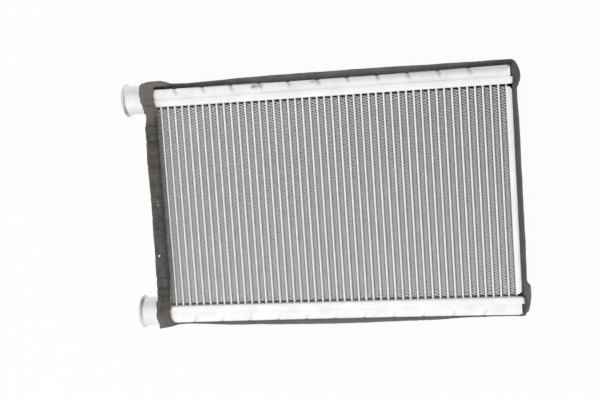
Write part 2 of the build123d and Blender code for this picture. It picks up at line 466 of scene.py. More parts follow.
def seal_foam(name, dark, worn, dust):
    """Open-cell foam: matt, with cells in the bump, patches of wear and dust, and painted shade.
    """
    material, tree, shader, place = start_material(name, 0.95, 0.0)
    patches = add_node(
        tree,
        "ShaderNodeTexNoise",
        {"Vector": place, "Scale": 1 / (6 * MM), "Detail": 6.0, "Roughness": 0.75},
    )
    worn_share = add_node(
        tree,
        "ShaderNodeMapRange",
        {"Value": patches.outputs[0], "From Min": 0.38, "From Max": 0.65},
    )
    base = add_node(
        tree,
        "ShaderNodeMix",
        {0: worn_share.outputs[0], 6: linear(dark), 7: linear(worn)},
        data_type="RGBA",
    )
    cells = add_node(
        tree, "ShaderNodeTexVoronoi", {"Vector": place, "Scale": 1 / (0.55 * MM)}
    )
    specks = add_node(
        tree,
        "ShaderNodeMapRange",
        {
            "Value": cells.outputs["Distance"],
            "From Min": 0.1,
            "From Max": 0.55,
            "To Min": 0.4,
            "To Max": 0.0,
        },
    )
    dusty = add_node(
        tree,
        "ShaderNodeMix",
        {0: specks.outputs[0], 6: base.outputs[2], 7: linear(dust)},
        data_type="RGBA",
    )
    colour = dusty.outputs[2]
    covers = []
    for mark, tint, most in FOAM_MARKS:
        amount = add_node(tree, "ShaderNodeAttribute", attribute_name=mark)
        cover = add_node(
            tree,
            "ShaderNodeMath",
            {0: amount.outputs["Fac"], 1: most},
            operation="MULTIPLY",
            use_clamp=True,
        )
        covers.append((cover, tint))
    for x, y, size, tint in SPECKS:
        away = add_node(
            tree,
            "ShaderNodeVectorMath",
            {0: place, 1: ((x + CORE_X) * MM, y * MM, SPECK_Z * MM)},
            operation="DISTANCE",
        )
        cover = add_node(
            tree,
            "ShaderNodeMapRange",
            {
                "Value": away.outputs["Value"],
                "From Min": 0.6 * size * MM,
                "From Max": size * MM,
                "To Min": 1.0,
                "To Max": 0.0,
            },
        )
        covers.append((cover, tint))
    for cover, tint in covers:
        marked = add_node(
            tree,
            "ShaderNodeMix",
            {0: cover.outputs[0], 6: colour, 7: linear(tint)},
            data_type="RGBA",
        )
        colour = marked.outputs[2]
    tree.links.new(colour, shader.inputs["Base Color"])
    bump = add_node(
        tree,
        "ShaderNodeBump",
        {"Height": cells.outputs["Distance"], "Strength": 0.7, "Distance": 0.2 * MM},
    )
    tree.links.new(bump.outputs[0], shader.inputs["Normal"])
    return material


side_foam_finish = seal_foam("open_cell_foam_side", "3f3b37", "615b55", "7a746d")
tape_foam_finish = seal_foam("open_cell_foam_tape", "524f4e", "68645f", "7b7772")
print("Foam materials:", side_foam_finish.name, tape_foam_finish.name)


# %% [markdown]
# Most pieces below start as a primitive that is shaped in edit mode. These helpers put a box or
# a tube form in place, pick parts of a mesh by their position, apply a modifier and hand a
# finished piece to the frame.

# %% Modelling helpers
def edit(on):
    bpy.ops.object.mode_set(mode="EDIT" if on else "OBJECT")


def pick(kind, wanted):
    """In edit mode, selects only the vertices, edges or faces that wanted says yes to."""
    bpy.ops.mesh.select_mode(type=kind)
    bpy.ops.mesh.select_all(action="DESELECT")
    mesh = bpy.context.edit_object.data
    form = bmesh.from_edit_mesh(mesh)
    items = {"VERT": form.verts, "EDGE": form.edges, "FACE": form.faces}[kind]
    for item in items:
        if wanted(item):
            item.select_set(True)
    form.select_flush_mode()
    bmesh.update_edit_mesh(mesh)


def runs_along(edge, axis):
    """Whether an edge runs along one axis: 0 for X, 1 for Y, 2 for Z."""
    span = edge.verts[0].co - edge.verts[1].co
    return abs(span[axis]) > 0.99 * span.length


def all_at(item, axis, value):
    """Whether all of an item's vertices lie at one place, in millimetres, on an axis."""
    return all(abs(v.co[axis] - value * MM) < 0.01 * MM for v in item.verts)


def add_box(low, high):
    """A primitive cube set between two corners, in millimetres, with its place applied."""
    bpy.ops.object.select_all(action="DESELECT")
    centre = [(a + b) / 2 * MM for a, b in zip(low, high)]
    bpy.ops.mesh.primitive_cube_add(size=1, location=centre)
    box = bpy.context.object
    box.scale = [(b - a) * MM for a, b in zip(low, high)]
    bpy.ops.object.transform_apply(location=True, rotation=True, scale=True)
    return box


def apply_modifier(piece, kind, **settings):
    modifier = piece.modifiers.new(kind.lower(), kind)
    for name, value in settings.items():
        setattr(modifier, name, value)
    bpy.ops.object.select_all(action="DESELECT")
    bpy.context.view_layer.objects.active = piece
    piece.select_set(True)
    bpy.ops.object.modifier_apply(modifier=modifier.name)


def copy_at(piece, shift):
    """A copy of a piece with a mesh of its own, moved by a shift in millimetres."""
    twin = piece.copy()
    twin.data = piece.data.copy()
    bpy.context.scene.collection.objects.link(twin)
    for vertex in twin.data.vertices:
        vertex.co += Vector(shift) * MM
    return twin


def join(pieces):
    bpy.ops.object.select_all(action="DESELECT")
    for piece in pieces:
        piece.select_set(True)
    bpy.context.view_layer.objects.active = pieces[0]
    bpy.ops.object.join()
    return bpy.context.object


def triangles(piece):
    return sum(len(face.vertices) - 2 for face in piece.data.polygons)


def hand_over(piece, name, material, slot, *nodes, smooth=35):
    """Names and shades a finished piece, and lets it ride in the frame for its CAD nodes."""
    piece.name = name
    piece.data.name = name
    bpy.ops.object.select_all(action="DESELECT")
    bpy.context.view_layer.objects.active = piece
    piece.select_set(True)
    bpy.ops.object.shade_smooth_by_angle(angle=math.radians(smooth))
    piece.data.materials.clear()
    piece.data.materials.append(material)
    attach(piece, "root")
    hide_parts(*nodes)
    return piece


# %% [markdown]
# A flat tube is a thin strip folded to an oval: 1.3 mm wide, its noses round. A cylinder with
# 16 sides is a good start, because pulling its front half forward and its back half back
# leaves a stadium. The same form, a little larger and closed, cuts the slots in the headers.

# %% Flat tubes
TUBES = 47
PITCH = 4.5
GROUP = 4
GROUPS = 12
TUBE_WIDTH = 1.3
TUBE_WALL = 0.25
tube_low, tube_high = [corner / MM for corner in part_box("tubes_01")]
tube_half_length = tube_high.y
tube_front = tube_high.z
tube_back = tube_low.z


def tube_form(grow, closed):
    """A stadium-shaped tube at the core's middle, grown by some millimetres all round."""
    sides = 16
    radius = (TUBE_WIDTH / 2 + grow) / math.cos(math.pi / sides)
    bpy.ops.object.select_all(action="DESELECT")
    bpy.ops.mesh.primitive_cylinder_add(
        vertices=sides,
        radius=radius * MM,
        depth=2 * tube_half_length * MM,
        end_fill_type="NGON" if closed else "NOTHING",
        location=(CORE_X * MM, 0, MID_Z * MM),
    )
    form = bpy.context.object
    edit(True)
    bpy.ops.mesh.select_all(action="SELECT")
    bpy.ops.transform.rotate(value=math.pi / sides, orient_axis="Z", center_override=form.location)
    edit(False)
    form.rotation_euler = (math.pi / 2, 0, 0)
    bpy.ops.object.transform_apply(location=True, rotation=True, scale=True)
    edit(True)
    stretch = (tube_front - tube_back - TUBE_WIDTH) / 2
    for hand in (1, -1):
        pick("VERT", lambda v: (v.co.z - MID_Z * MM) * hand > 0)
        bpy.ops.transform.translate(value=(0, 0, hand * stretch * MM))
    edit(False)
    return form


tube_places = [(i - (TUBES - 1) / 2) * PITCH for i in range(TUBES)]
tube = tube_form(0, closed=False)
apply_modifier(tube, "SOLIDIFY", thickness=TUBE_WALL * MM, offset=-1)
tube_size = [round(size / MM, 2) for size in tube.dimensions]
print("One tube:", tube_size, "mm,", triangles(tube), "triangles")

# %% All the tubes
for group in range(GROUPS):
    places = tube_places[group * GROUP : (group + 1) * GROUP]
    row = join([copy_at(tube, (x, 0, 0)) for x in places])
    number = f"{group + 1:02d}"
    hand_over(row, f"flat_tubes_{number}", tube_metal, "tube_metal", f"tubes_{number}")
bpy.data.objects.remove(tube)
print("Tubes:", TUBES, "in", GROUPS, "pieces")

# %% [markdown]
# A fin is one long strip of foil folded into a zigzag, its crests brazed to the tubes. The
# folds are 0.8 mm apart, so a fin 123 mm long has 153 legs. A grid is added with one row for
# each leg, stood on edge, and every other row is moved across: that is the fold. A bevel rounds
# the crests, and Solidify gives the foil its gauge. Real foil is 0.07 mm, thinner than the
# picture can show, so this one is drawn at 0.24 mm.

# %% One fin
FINS = 48
LEGS = 153
FOIL = 0.24
FIN_HALF_LENGTH = 61.9
FIN_FRONT_GAP = 0.9
CREST = 0.28
fin_width = PITCH - TUBE_WIDTH
fin_depth = tube_front - tube_back - 2 * FIN_FRONT_GAP
leg = 2 * FIN_HALF_LENGTH / LEGS
swing = fin_width / 2 - FOIL / 2 - 0.01

bpy.ops.object.select_all(action="DESELECT")
bpy.ops.mesh.primitive_grid_add(
    x_subdivisions=1, y_subdivisions=LEGS, size=1, location=(CORE_X * MM, 0, MID_Z * MM)
)
fin = bpy.context.object
fin.scale = (fin_depth * MM, 2 * FIN_HALF_LENGTH * MM, 1)
fin.rotation_euler = (0, math.pi / 2, 0)
bpy.ops.object.transform_apply(location=True, rotation=True, scale=True)
edit(True)
for odd, way in ((0, -1), (1, 1)):
    pick("VERT", lambda v: round((v.co.y / MM + FIN_HALF_LENGTH) / leg) % 2 == odd)
    bpy.ops.transform.translate(value=(way * swing * MM, 0, 0))
pick("EDGE", lambda e: runs_along(e, 2) and abs(e.verts[0].co.y) < (FIN_HALF_LENGTH - 0.1) * MM)
bpy.ops.mesh.bevel(offset=CREST * MM, offset_type="OFFSET", segments=2, affect="EDGES")
edit(False)
apply_modifier(fin, "SOLIDIFY", thickness=FOIL * MM, offset=0)
fin_size = [round(size / MM, 2) for size in fin.dimensions]
print("One fin:", fin_size, "mm,", triangles(fin), "triangles")

# %% [markdown]
# No two real fins fold quite alike. Each copy is shaken a little by smooth noise, up and down
# its length and at its front, with a seed of its own, and a few end in wider, open folds at the
# lower header, as in the photograph.

# %% All the fins
SLOW_SHAKE = 0.28
QUICK_SHAKE = 0.16
FRONT_SHAKE = 0.18
END_PRESS = 0.7
OPEN_FOLD = 0.55
OPEN_ENDED = (3, 5, 9, 17, 21, 25, 29, 33, 37, 45)
fin_places = [(i - TUBES / 2) * PITCH for i in range(FINS)]


def shake(strip, number):
    """Moves one fin's folds by smooth noise, so that it isn't a stamp of its neighbours."""
    for vertex in strip.data.vertices:
        y = vertex.co.y / MM
        depth = (vertex.co.z / MM - MID_Z) / (fin_depth / 2)
        calm = min(1.0, (FIN_HALF_LENGTH - abs(y)) / 3)
        slow = noise.noise(Vector((number * 7.3, y / 5.0, 0.0)))
        quick = noise.noise(Vector((number * 3.1, y / 1.1, 9.0 + depth)))
        front = noise.noise(Vector((number * 5.7, y / 2.3, 4.0)))
        shift = SLOW_SHAKE * slow * calm + QUICK_SHAKE * quick * calm
        # The last fold at either end is pressed nearly level
        past = abs(y) - (FIN_HALF_LENGTH - leg)
        if past > 0:
            shift -= math.copysign(END_PRESS * past, y)
        if number in OPEN_ENDED and y < -54:
            shift += OPEN_FOLD * math.sin(math.pi * min(1.0, (y + FIN_HALF_LENGTH) / 7.0))
        vertex.co.y += shift * MM
        if depth > 0.5:
            vertex.co.z += FRONT_SHAKE * front * MM


for group in range(GROUPS):
    strips = []
    for number in range(group * GROUP, (group + 1) * GROUP):
        strip = copy_at(fin, (fin_places[number], 0, 0))
        shake(strip, number)
        strips.append(strip)
    number = f"{group + 1:02d}"
    row = join(strips)
    hand_over(row, f"fin_strips_{number}", fin_metal, "fin_metal", f"fins_{number}", smooth=50)
bpy.data.objects.remove(fin)
print("Fins:", FINS, "in", GROUPS, "pieces")

# %% [markdown]
# A header pan is a shallow tray pressed from sheet, its corners round, with a slot for every
# tube. A box loses its open side, bevels round its corners and its floor's rim, and Solidify
# gives the sheet. The slots are cut at the end, by the tube's own form grown by a hair, and so
# are the slots for the side plates' tabs and a notch where a pipe passes over the wall.

# %% Slot cutter
SLOT_GAP = 0.06
# Where the slots for the side plates' tabs begin and end, from the core's middle
TAB_SLOT = (107.29, 108.41)
# The notch in the pan's wall for the flattened spigot: along X, along Y, and half its depth
NOTCH_X = (-114.0, -110.4)
NOTCH_Y = (65.35, 70.0)
NOTCH_HALF_DEPTH = 8.35
slot = tube_form(SLOT_GAP, closed=True)
slots = [copy_at(slot, (x, 0, 0)) for x in tube_places]
for hand in (1, -1):
    near, far = sorted(hand * x for x in TAB_SLOT)
    low = (CORE_X + near, -tube_half_length, tube_back)
    high = (CORE_X + far, tube_half_length, tube_front)
    slots.append(add_box(low, high))
for outward in SIDES.values():
    foot, top = sorted(outward * y for y in NOTCH_Y)
    low = (CORE_X + NOTCH_X[0], foot, MID_Z - NOTCH_HALF_DEPTH)
    high = (CORE_X + NOTCH_X[1], top, MID_Z + NOTCH_HALF_DEPTH)
    slots.append(add_box(low, high))
print("Cutting forms:", len(slots))
cutter = join(slots)
bpy.data.objects.remove(slot)


# %% Header pans
PAN_SHEET = 1.2
PAN_CORNER = 1.9
PAN_RIM = 1.2


def header_pan(side, outward):
    low, high = [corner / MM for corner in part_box(f"{side}_header_pan")]
    floor_y = low.y if outward > 0 else high.y
    pan = add_box(low, high)
    edit(True)
    pick("FACE", lambda f: f.normal.y * outward > 0.9)
    bpy.ops.mesh.delete(type="FACE")
    pick("EDGE", lambda e: runs_along(e, 1))
    bpy.ops.mesh.bevel(offset=PAN_CORNER * MM, segments=5, affect="EDGES")
    pick("EDGE", lambda e: all_at(e, 1, floor_y))
    bpy.ops.mesh.bevel(offset=PAN_RIM * MM, segments=4, affect="EDGES")
    edit(False)
    apply_modifier(pan, "SOLIDIFY", thickness=PAN_SHEET * MM, offset=-1, use_even_offset=True)
    apply_modifier(pan, "BEVEL", width=0.2 * MM, segments=2, limit_method="ANGLE", angle_limit=1.0)
    apply_modifier(pan, "BOOLEAN", operation="DIFFERENCE", object=cutter, solver="EXACT")
    hand_over(pan, f"{side}_header_tray", header_metal, "brazed_header", f"{side}_header_pan")
    print(pan.name, triangles(pan), "triangles")


for side, outward in SIDES.items():
    header_pan(side, outward)
bpy.data.objects.remove(cutter)

# %% [markdown]
# The tank covers and the foam are shaped vertex by vertex. Three helpers serve for that: a ramp
# from 0 to 1 between two places, a bell that fades on both sides of a place, and a store for one
# number per vertex, which a material reads by its name.


# %% Shaping helpers
def ramp_between(low, high, at):
    return min(1.0, max(0.0, (at - low) / (high - low)))


def bell(distance, width):
    return math.exp(-((distance / width) ** 2))


def mark_vertices(piece, name, values):
    piece.data.attributes.new(name, "FLOAT", "POINT").data.foreach_set("value", values)


# %% [markdown]
# A tank cover is sheet folded into a channel. Across its long bends, every 18 mm, a press has
# left a short slanting dent, which stiffens the bend. The flats are a little crowned, and the
# bends are sharper near the tank's ends. The channel is a box without its foot and ends, with
# two round bends and fine cuts along its length, so that all this can be pressed in by moving
# vertices. A grey painted shade lies along the upper tape and in the dents.

# %% Dents
DENT_STEP = 18.1
LAST_DENT = 10
FIRST_DENT = {1: -93.4, -1: -92.0}
DENT_DEPTH = {1: 0.6, -1: 0.28}
DENT_LEAN = -0.45
BEND = 1.5
SQUARER_ENDS = 0.85
CROWN = 0.4
TAPE_SHADE = 0.65


def press_dents(cover, outward):
    """Pushes the bends in at each dent: deepest on the bend, fading on both flats."""
    painted_shade = []
    first = FIRST_DENT[outward]
    edge_y = max(vertex.co.y * outward for vertex in cover.data.vertices) / MM
    half_height = max(vertex.co.z for vertex in cover.data.vertices) / MM - MID_Z
    for vertex in cover.data.vertices:
        x = vertex.co.x / MM - CORE_X
        y = vertex.co.y / MM * outward
        # A grey painted shade along the upper tape, stronger towards the right
        grey_share = TAPE_SHADE * ramp_between(-95, 85, x) * ramp_between(69.3, 72.2, y) * max(0, outward)
        painted_shade.append(grey_share)
        height = vertex.co.z / MM - MID_Z
        hand = 1 if height > 0 else -1
        # Near the tank's ends, over the end caps, the bend is sharper
        near_end = SQUARER_ENDS * ramp_between(70, 108, abs(x + 3))
        bend_y = y - (edge_y - BEND)
        bend_z = abs(height) - (half_height - BEND)
        if bend_y > 0 and bend_z > 0:
            squarer = near_end * (BEND / max(bend_y, bend_z) - 1)
            vertex.co.y += outward * bend_y * squarer * MM
            vertex.co.z += hand * bend_z * squarer * MM
        # The sheet's flats are a little crowned: they fall away towards the bend
        crown = CROWN * (1 - 0.7 * near_end)
        vertex.co.z -= hand * crown * ramp_between(68.5, 72.0, y) ** 2 * MM
        number = min(LAST_DENT, max(0, round((x - first) / DENT_STEP)))
        across = x - (first + DENT_STEP * number) - DENT_LEAN * (y - 72.0)
        if abs(across) > 3:
            continue
        depth = DENT_DEPTH[outward] * bell(across, 1.0)
        depth *= ramp_between(69.0, 71.0, y) * ramp_between(9.4, 10.8, abs(height))
        vertex.co.y -= outward * depth * 0.5 * MM
        vertex.co.z -= hand * depth * 0.8 * MM
        # The dents take a painted shade, as deep as they are pressed
        painted_shade[-1] = min(1.0, grey_share + depth)
    mark_vertices(cover, "painted_shade", painted_shade)


# %% Tank covers
COVER_SHEET = 1.2


def tank_cover(side, outward):
    low, high = [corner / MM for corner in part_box(f"{side}_tank_cover")]
    top_y = high.y if outward > 0 else low.y
    cover = add_box(low, high)
    edit(True)
    pick("FACE", lambda f: f.normal.y * outward < -0.9 or abs(f.normal.x) > 0.9)
    bpy.ops.mesh.delete(type="FACE")
    pick("EDGE", lambda e: runs_along(e, 0) and all_at(e, 1, top_y))
    bpy.ops.mesh.bevel(offset=BEND * MM, segments=8, affect="EDGES")
    pick("EDGE", lambda e: runs_along(e, 1) and (e.verts[0].co - e.verts[1].co).length > 3 * MM)
    bpy.ops.mesh.subdivide(number_cuts=7)
    for cuts in (72, 4):
        pick("EDGE", lambda e: runs_along(e, 0))
        bpy.ops.mesh.subdivide(number_cuts=cuts)
    edit(False)
    press_dents(cover, outward)
    apply_modifier(cover, "SOLIDIFY", thickness=COVER_SHEET * MM, offset=-1, use_even_offset=True)
    node = f"{side}_tank_cover"
    hand_over(cover, f"{side}_tank_shell", tank_metal, "brazed_tank", node, smooth=40)
    print(cover.name, triangles(cover), "triangles")


for side, outward in SIDES.items():
    tank_cover(side, outward)

# %% [markdown]
# An end cap is a flat plate pressed into a tank's end, with an opening for the spigot on the
# pipes' side. Hardly any of it shows, so the solids stay and take the tanks' finish.

# %% End caps
for side in SIDES:
    for end in ("left", "right"):
        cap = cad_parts[f"{side}_{end}_end_cap"]
        cap.data.materials.clear()
        cap.data.materials.append(tank_metal)
        print(cap.name, triangles(cap), "triangles")

# %% [markdown]
# A side plate is a channel pressed from sheet. Its web lies against the last fin and its two
# flanges point away from the core, their corners well rounded. Thin tabs at the web's ends pass
# into the headers. The left plate is hidden under the foam, and is made the same way.


# %% Side plates
PLATE_SHEET = 1.0
WEB_BEND = 1.0
FLANGE_END = 61.2
FLANGE_CORNER = 2.6


def side_plate(end, hand):
    low, high = [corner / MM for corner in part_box(f"{end}_side_plate")]
    web_x, edge_x = (low.x, high.x) if hand > 0 else (high.x, low.x)
    plate = add_box((low.x, -FLANGE_END, low.z), (high.x, FLANGE_END, high.z))
    edit(True)
    pick("FACE", lambda f: f.normal.x * hand > 0.9 or abs(f.normal.y) > 0.9)
    bpy.ops.mesh.delete(type="FACE")
    pick("EDGE", lambda e: runs_along(e, 1) and all_at(e, 0, web_x))
    bpy.ops.mesh.bevel(offset=WEB_BEND * MM, segments=4, affect="EDGES")
    pick("VERT", lambda v: abs(v.co.x - edge_x * MM) < 0.01 * MM)
    bpy.ops.mesh.bevel(offset=FLANGE_CORNER * MM, segments=5, affect="VERTICES")
    for way in (1, -1):
        end_y = way * FLANGE_END
        pick("EDGE", lambda e: runs_along(e, 2) and all_at(e, 1, end_y) and all_at(e, 0, web_x))
        tab = way * (tube_half_length - FLANGE_END) * MM
        bpy.ops.mesh.extrude_edges_move(TRANSFORM_OT_translate={"value": (0, tab, 0)})
    edit(False)
    apply_modifier(plate, "SOLIDIFY", thickness=PLATE_SHEET * MM, offset=-1)
    apply_modifier(
        plate, "BEVEL", width=0.15 * MM, segments=2, limit_method="ANGLE", angle_limit=1.0
    )
    hand_over(plate, f"{end}_side_channel", plate_metal, "side_plate_metal", f"{end}_side_plate")
    print(plate.name, triangles(plate), "triangles")


side_plate("right", 1)
side_plate("left", -1)

# %% [markdown]
# A pipe stub is tube with a lip rolled at its mouth, where a hose clamp holds, and its other
# end flattened to an oval that enters the tank. It is drawn ring by ring, from one circle that is
# extruded and resized again and again: out of the tank through the oval's hollow, up the bore,
# over the lip, back along the neck and over the oval, where the last ring meets the first.

# %% Pipe stubs
RING_SIDES = 56
PIPE_Y = 68.0
OVAL_Y = 68.65
# Half the height and half the depth of the flattened spigot, outside and in its hollow
SPIGOT = (3.2, 8.25)
SPIGOT_HOLLOW = (2.4, 7.45)
SPIGOT_START = 17.5
BORE_FLOOR = 15.9
# Distance from the mouth and radius of each ring, in millimetres
PIPE_RINGS = (
    (BORE_FLOOR, 8.0),
    (1.3, 8.0),
    (0.5, 8.25),
    (0.1, 8.7),
    (0.0, 9.4),
    (0.12, 10.0),
    (0.45, 10.4),
    (0.9, 10.5),
    (1.3, 10.35),
    (1.65, 10.0),
    (1.95, 9.55),
    (2.2, 9.2),
    (2.5, 9.04),
    (2.9, 9.0),
    (10.0, 9.0),
    (17.1, 9.0),
    (17.45, 8.7),
)


def pipe_stub(side, outward):
    low, high = [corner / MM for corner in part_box(f"{side}_pipe")]
    length = high.x - low.x
    rings = [(length, OVAL_Y, *SPIGOT_HOLLOW), (BORE_FLOOR, OVAL_Y, *SPIGOT_HOLLOW)]
    rings += [(x, PIPE_Y, radius, radius) for x, radius in PIPE_RINGS]
    rings += [(SPIGOT_START, OVAL_Y, *SPIGOT), (length, OVAL_Y, *SPIGOT)]
    rings.append(rings[0])
    x, y, half_height, half_depth = rings[0]
    bpy.ops.object.select_all(action="DESELECT")
    bpy.ops.mesh.primitive_circle_add(
        vertices=RING_SIDES,
        radius=MM,
        fill_type="NOTHING",
        location=((low.x + x) * MM, outward * y * MM, MID_Z * MM),
        rotation=(0, math.pi / 2, 0),
    )
    pipe = bpy.context.object
    bpy.ops.object.transform_apply(location=True, rotation=True, scale=True)
    edit(True)
    bpy.ops.mesh.select_mode(type="EDGE")
    bpy.ops.mesh.select_all(action="SELECT")
    centre = ((low.x + x) * MM, outward * y * MM, MID_Z * MM)
    bpy.ops.transform.resize(value=(1, half_height, half_depth), center_override=centre)
    for next_x, next_y, next_height, next_depth in rings[1:]:
        move = ((next_x - x) * MM, outward * (next_y - y) * MM, 0)
        bpy.ops.mesh.extrude_edges_move(TRANSFORM_OT_translate={"value": move})
        centre = ((low.x + next_x) * MM, outward * next_y * MM, MID_Z * MM)
        grow = (1, next_height / half_height, next_depth / half_depth)
        bpy.ops.transform.resize(value=grow, center_override=centre)
        x, y, half_height, half_depth = next_x, next_y, next_height, next_depth
    bpy.ops.mesh.select_all(action="SELECT")
    bpy.ops.mesh.remove_doubles(threshold=0.001 * MM)
    bpy.ops.mesh.normals_make_consistent(inside=False)
    edit(False)
    hand_over(pipe, f"{side}_pipe_stub", pipe_metal, "pipe_metal", f"{side}_pipe", smooth=40)
    print(pipe.name, [round(size / MM, 1) for size in pipe.dimensions], "mm")


for side, outward in SIDES.items():
    pipe_stub(side, outward)

# %% [markdown]
# The seals are soft foam strip, cut by hand and stuck round the core, so nothing on them is
# straight or sharp. Each starts from its solid's own form, remeshed into small even cells so
# that it can be shaped like clay: smoothed to soften the cut edges, then pushed about by slow
# noise for the hand-cut line and by fine noise for the grain.


# %% Foam helpers
def foam_form(node, name, cell, rounds):
    """A copy of a foam node as an even skin of small faces, its edges softened."""
    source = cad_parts[node]
    piece = bpy.data.objects.new(name, source.data.copy())
    bpy.context.scene.collection.objects.link(piece)
    bpy.ops.object.select_all(action="DESELECT")
    bpy.context.view_layer.objects.active = piece
    piece.select_set(True)
    edit(True)
    bpy.ops.mesh.select_all(action="SELECT")
    bpy.ops.mesh.remove_doubles(threshold=0.001 * MM)
    edit(False)
    apply_modifier(piece, "REMESH", mode="VOXEL", voxel_size=cell * MM)
    apply_modifier(piece, "SMOOTH", factor=0.5, iterations=rounds)
    return piece


def roughen(piece, slow_size, slow_depth, fine_size, fine_depth):
    """Pushes each vertex along its normal by a slow and a fine noise."""
    outward = [vertex.normal.copy() for vertex in piece.data.vertices]
    for vertex, normal in zip(piece.data.vertices, outward):
        place = vertex.co / MM
        slow = noise.noise(place / slow_size)
        fine = noise.noise(place / fine_size + Vector((31.0, 7.0, 3.0)))
        push = slow * slow_depth + fine * fine_depth
        vertex.co += normal * push * MM


def between(table, at):
    """Reads a short table of (place, value) pairs, eased from one entry to the next."""
    if at <= table[0][0]:
        return table[0][1]
    for (left, low), (right, high) in zip(table, table[1:]):
        if at <= right:
            share = (at - left) / (right - left)
            return low + (high - low) * share * share * (3 - 2 * share)
    return table[-1][1]


# %% [markdown]
# The tape follows the line of the tanks and the right side plate. For each of its vertices, the
# nearest point on that line says how far out it lies, and tables say how thick the tape is there:
# full in the middle of its top run, thin under the lower tank and stretched round the pans' ends.
# It sits lower beside both tanks, and its front slopes down towards the core.

# %% Edge tape
TANK_Y = 73.8
# The line that the tape is stuck along, from the core's middle, clockwise from the upper left
STUCK_LINE = (
    (-99.0, TANK_Y),
    (110.84, TANK_Y),
    (112.7, 66.84),
    (112.7, 62.3),
    (111.4, 62.3),
    (111.4, -62.3),
    (112.7, -62.3),
    (112.7, -66.84),
    (110.84, -TANK_Y),
    (-105.3, -TANK_Y),
)
TAPE = 3.0
TAPE_FRONT = 30.5
# Along the top run: the front's height, the inner side's lean outwards and its lower front
TOP_FRONT = ((-98, 27.0), (-62, 27.4), (-30, 28.4), (35, 28.4), (72, 27.6), (105, 27.2))
TOP_LEAN = ((-98, 1.2), (-55, 0.8), (-22, 0.35), (40, 0.35), (70, 0.7), (105, 1.1))
TOP_SINK = ((-98, 3.6), (-62, 3.0), (-25, 1.2), (35, 1.2), (72, 2.6), (105, 3.6))
TOP_THICKNESS = (
    (-98, 3.0),
    (-88, 2.5),
    (-72, 2.8),
    (-55, 3.3),
    (-25, 3.6),
    (35, 3.6),
    (60, 3.2),
    (105, 3.0),
)
# Up the right run, from the lower tank to the upper one
END_THICKNESS = (
    (-73.8, 2.25),
    (-71.5, 3.15),
    (-68.5, 3.15),
    (-62.0, 2.95),
    (-57.0, 2.15),
    (-46.0, 2.45),
    (34.0, 2.35),
    (46.0, 2.20),
    (57.5, 1.75),
    (62.3, 1.75),
    (64.2, 2.75),
    (69.4, 3.55),
    (72.7, 3.35),
    (73.8, 2.75),
)
# Along the bottom run: the tape's thickness and its front's height
BOTTOM_THICKNESS = (
    (-103, 1.9),
    (-75, 2.4),
    (-55, 2.6),
    (-20, 2.8),
    (10, 2.8),
    (50, 2.35),
    (85, 1.9),
    (104, 1.8),
    (110.8, 2.2),
)
BOTTOM_FRONT = (
    (-103, 21.5),
    (-60, 25.5),
    (-20, 27.0),
    (10, 27.0),
    (50, 25.5),
    (85, 22.0),
    (108, 21.0),
)
# How far the inner side's front sinks elsewhere, and how worn the edge and the bottom are
SUNK = 2.0
EDGE_WEAR = 0.6
BOTTOM_WEAR = 1.1


def nearest_on_line(x, y):
    """The nearest point of the stuck line, and the direction from it to (x, y)."""
    best = None
    for (x0, y0), (x1, y1) in zip(STUCK_LINE, STUCK_LINE[1:]):
        run_x, run_y = x1 - x0, y1 - y0
        length = run_x * run_x + run_y * run_y
        share = min(1.0, max(0.0, ((x - x0) * run_x + (y - y0) * run_y) / length))
        foot_x, foot_y = x0 + run_x * share, y0 + run_y * share
        distance = math.hypot(x - foot_x, y - foot_y)
        if best is None or distance < best[0]:
            side = math.sqrt(length)
            best = (distance, foot_x, foot_y, -run_y / side, run_x / side)
    distance, foot_x, foot_y, normal_x, normal_y = best
    if distance > 0.3:
        return distance, foot_x, foot_y, (x - foot_x) / distance, (y - foot_y) / distance
    return distance, foot_x, foot_y, -normal_x, -normal_y


def shape_tape(piece):
    shades = []
    worn = []
    for vertex in piece.data.vertices:
        x = vertex.co.x / MM - CORE_X
        y = vertex.co.y / MM
        z = vertex.co.z / MM
        distance, foot_x, foot_y, out_x, out_y = nearest_on_line(x, y)
        sunk = SUNK
        lean = 0.0
        shaded_run = 1.0
        through = 0.0
        if foot_y > TANK_Y - 0.1:
            thickness = between(TOP_THICKNESS, foot_x)
            front = between(TOP_FRONT, foot_x)
            sunk = between(TOP_SINK, foot_x)
            lean = between(TOP_LEAN, foot_x)
        elif foot_y < 0.1 - TANK_Y:
            thickness = between(BOTTOM_THICKNESS, foot_x)
            front = between(BOTTOM_FRONT, foot_x)
            shaded_run = 0.0
        else:
            thickness = between(END_THICKNESS, foot_y)
            # Up the right side the painted shade reaches right across, and the outer edge is less
            # worn
            through = 0.45 * ramp_between(-62, -50, foot_y)
            front = TAPE_FRONT - 9.5 * ramp_between(-60, -TANK_Y, foot_y) ** 1.5
            front -= (TAPE_FRONT - between(TOP_FRONT, foot_x)) * ramp_between(66, TANK_Y, foot_y)
        layer = min(1.0, distance / TAPE)
        reach = layer * thickness + lean * (1 - layer) * (z / TAPE_FRONT) ** 4
        # Past the pans' ends the soft inner side swells into the corner beside the tank
        swell = (1 - layer) * max(0.0, foot_x - 110.95) * ramp_between(67.0, 68.5, abs(foot_y))
        # The front slopes down towards the core
        sink = sunk * (1 - layer) * (z / TAPE_FRONT) ** 4
        vertex.co.x = (CORE_X + foot_x + out_x * reach - swell) * MM
        vertex.co.y = (foot_y + out_y * reach) * MM
        vertex.co.z = (z * front / TAPE_FRONT - sink) * MM
        lower_end = ramp_between(-62, -67, foot_y)
        # Painted shade: the tape's inner side, beside the tanks and the plate, is darker
        inner_side = 1.0 - ramp_between(0.1, 0.4, layer)
        shade = through + (1 - 2 * through) * inner_side
        shades.append(shaded_run * shade * (1 - 0.7 * lower_end))
        outer_edge = (EDGE_WEAR - through) * ramp_between(0.7, 1.0, layer)
        worn.append(shaded_run * outer_edge + (1 - shaded_run) * BOTTOM_WEAR)
    mark_vertices(piece, "shade", shades)
    mark_vertices(piece, "wear", worn)


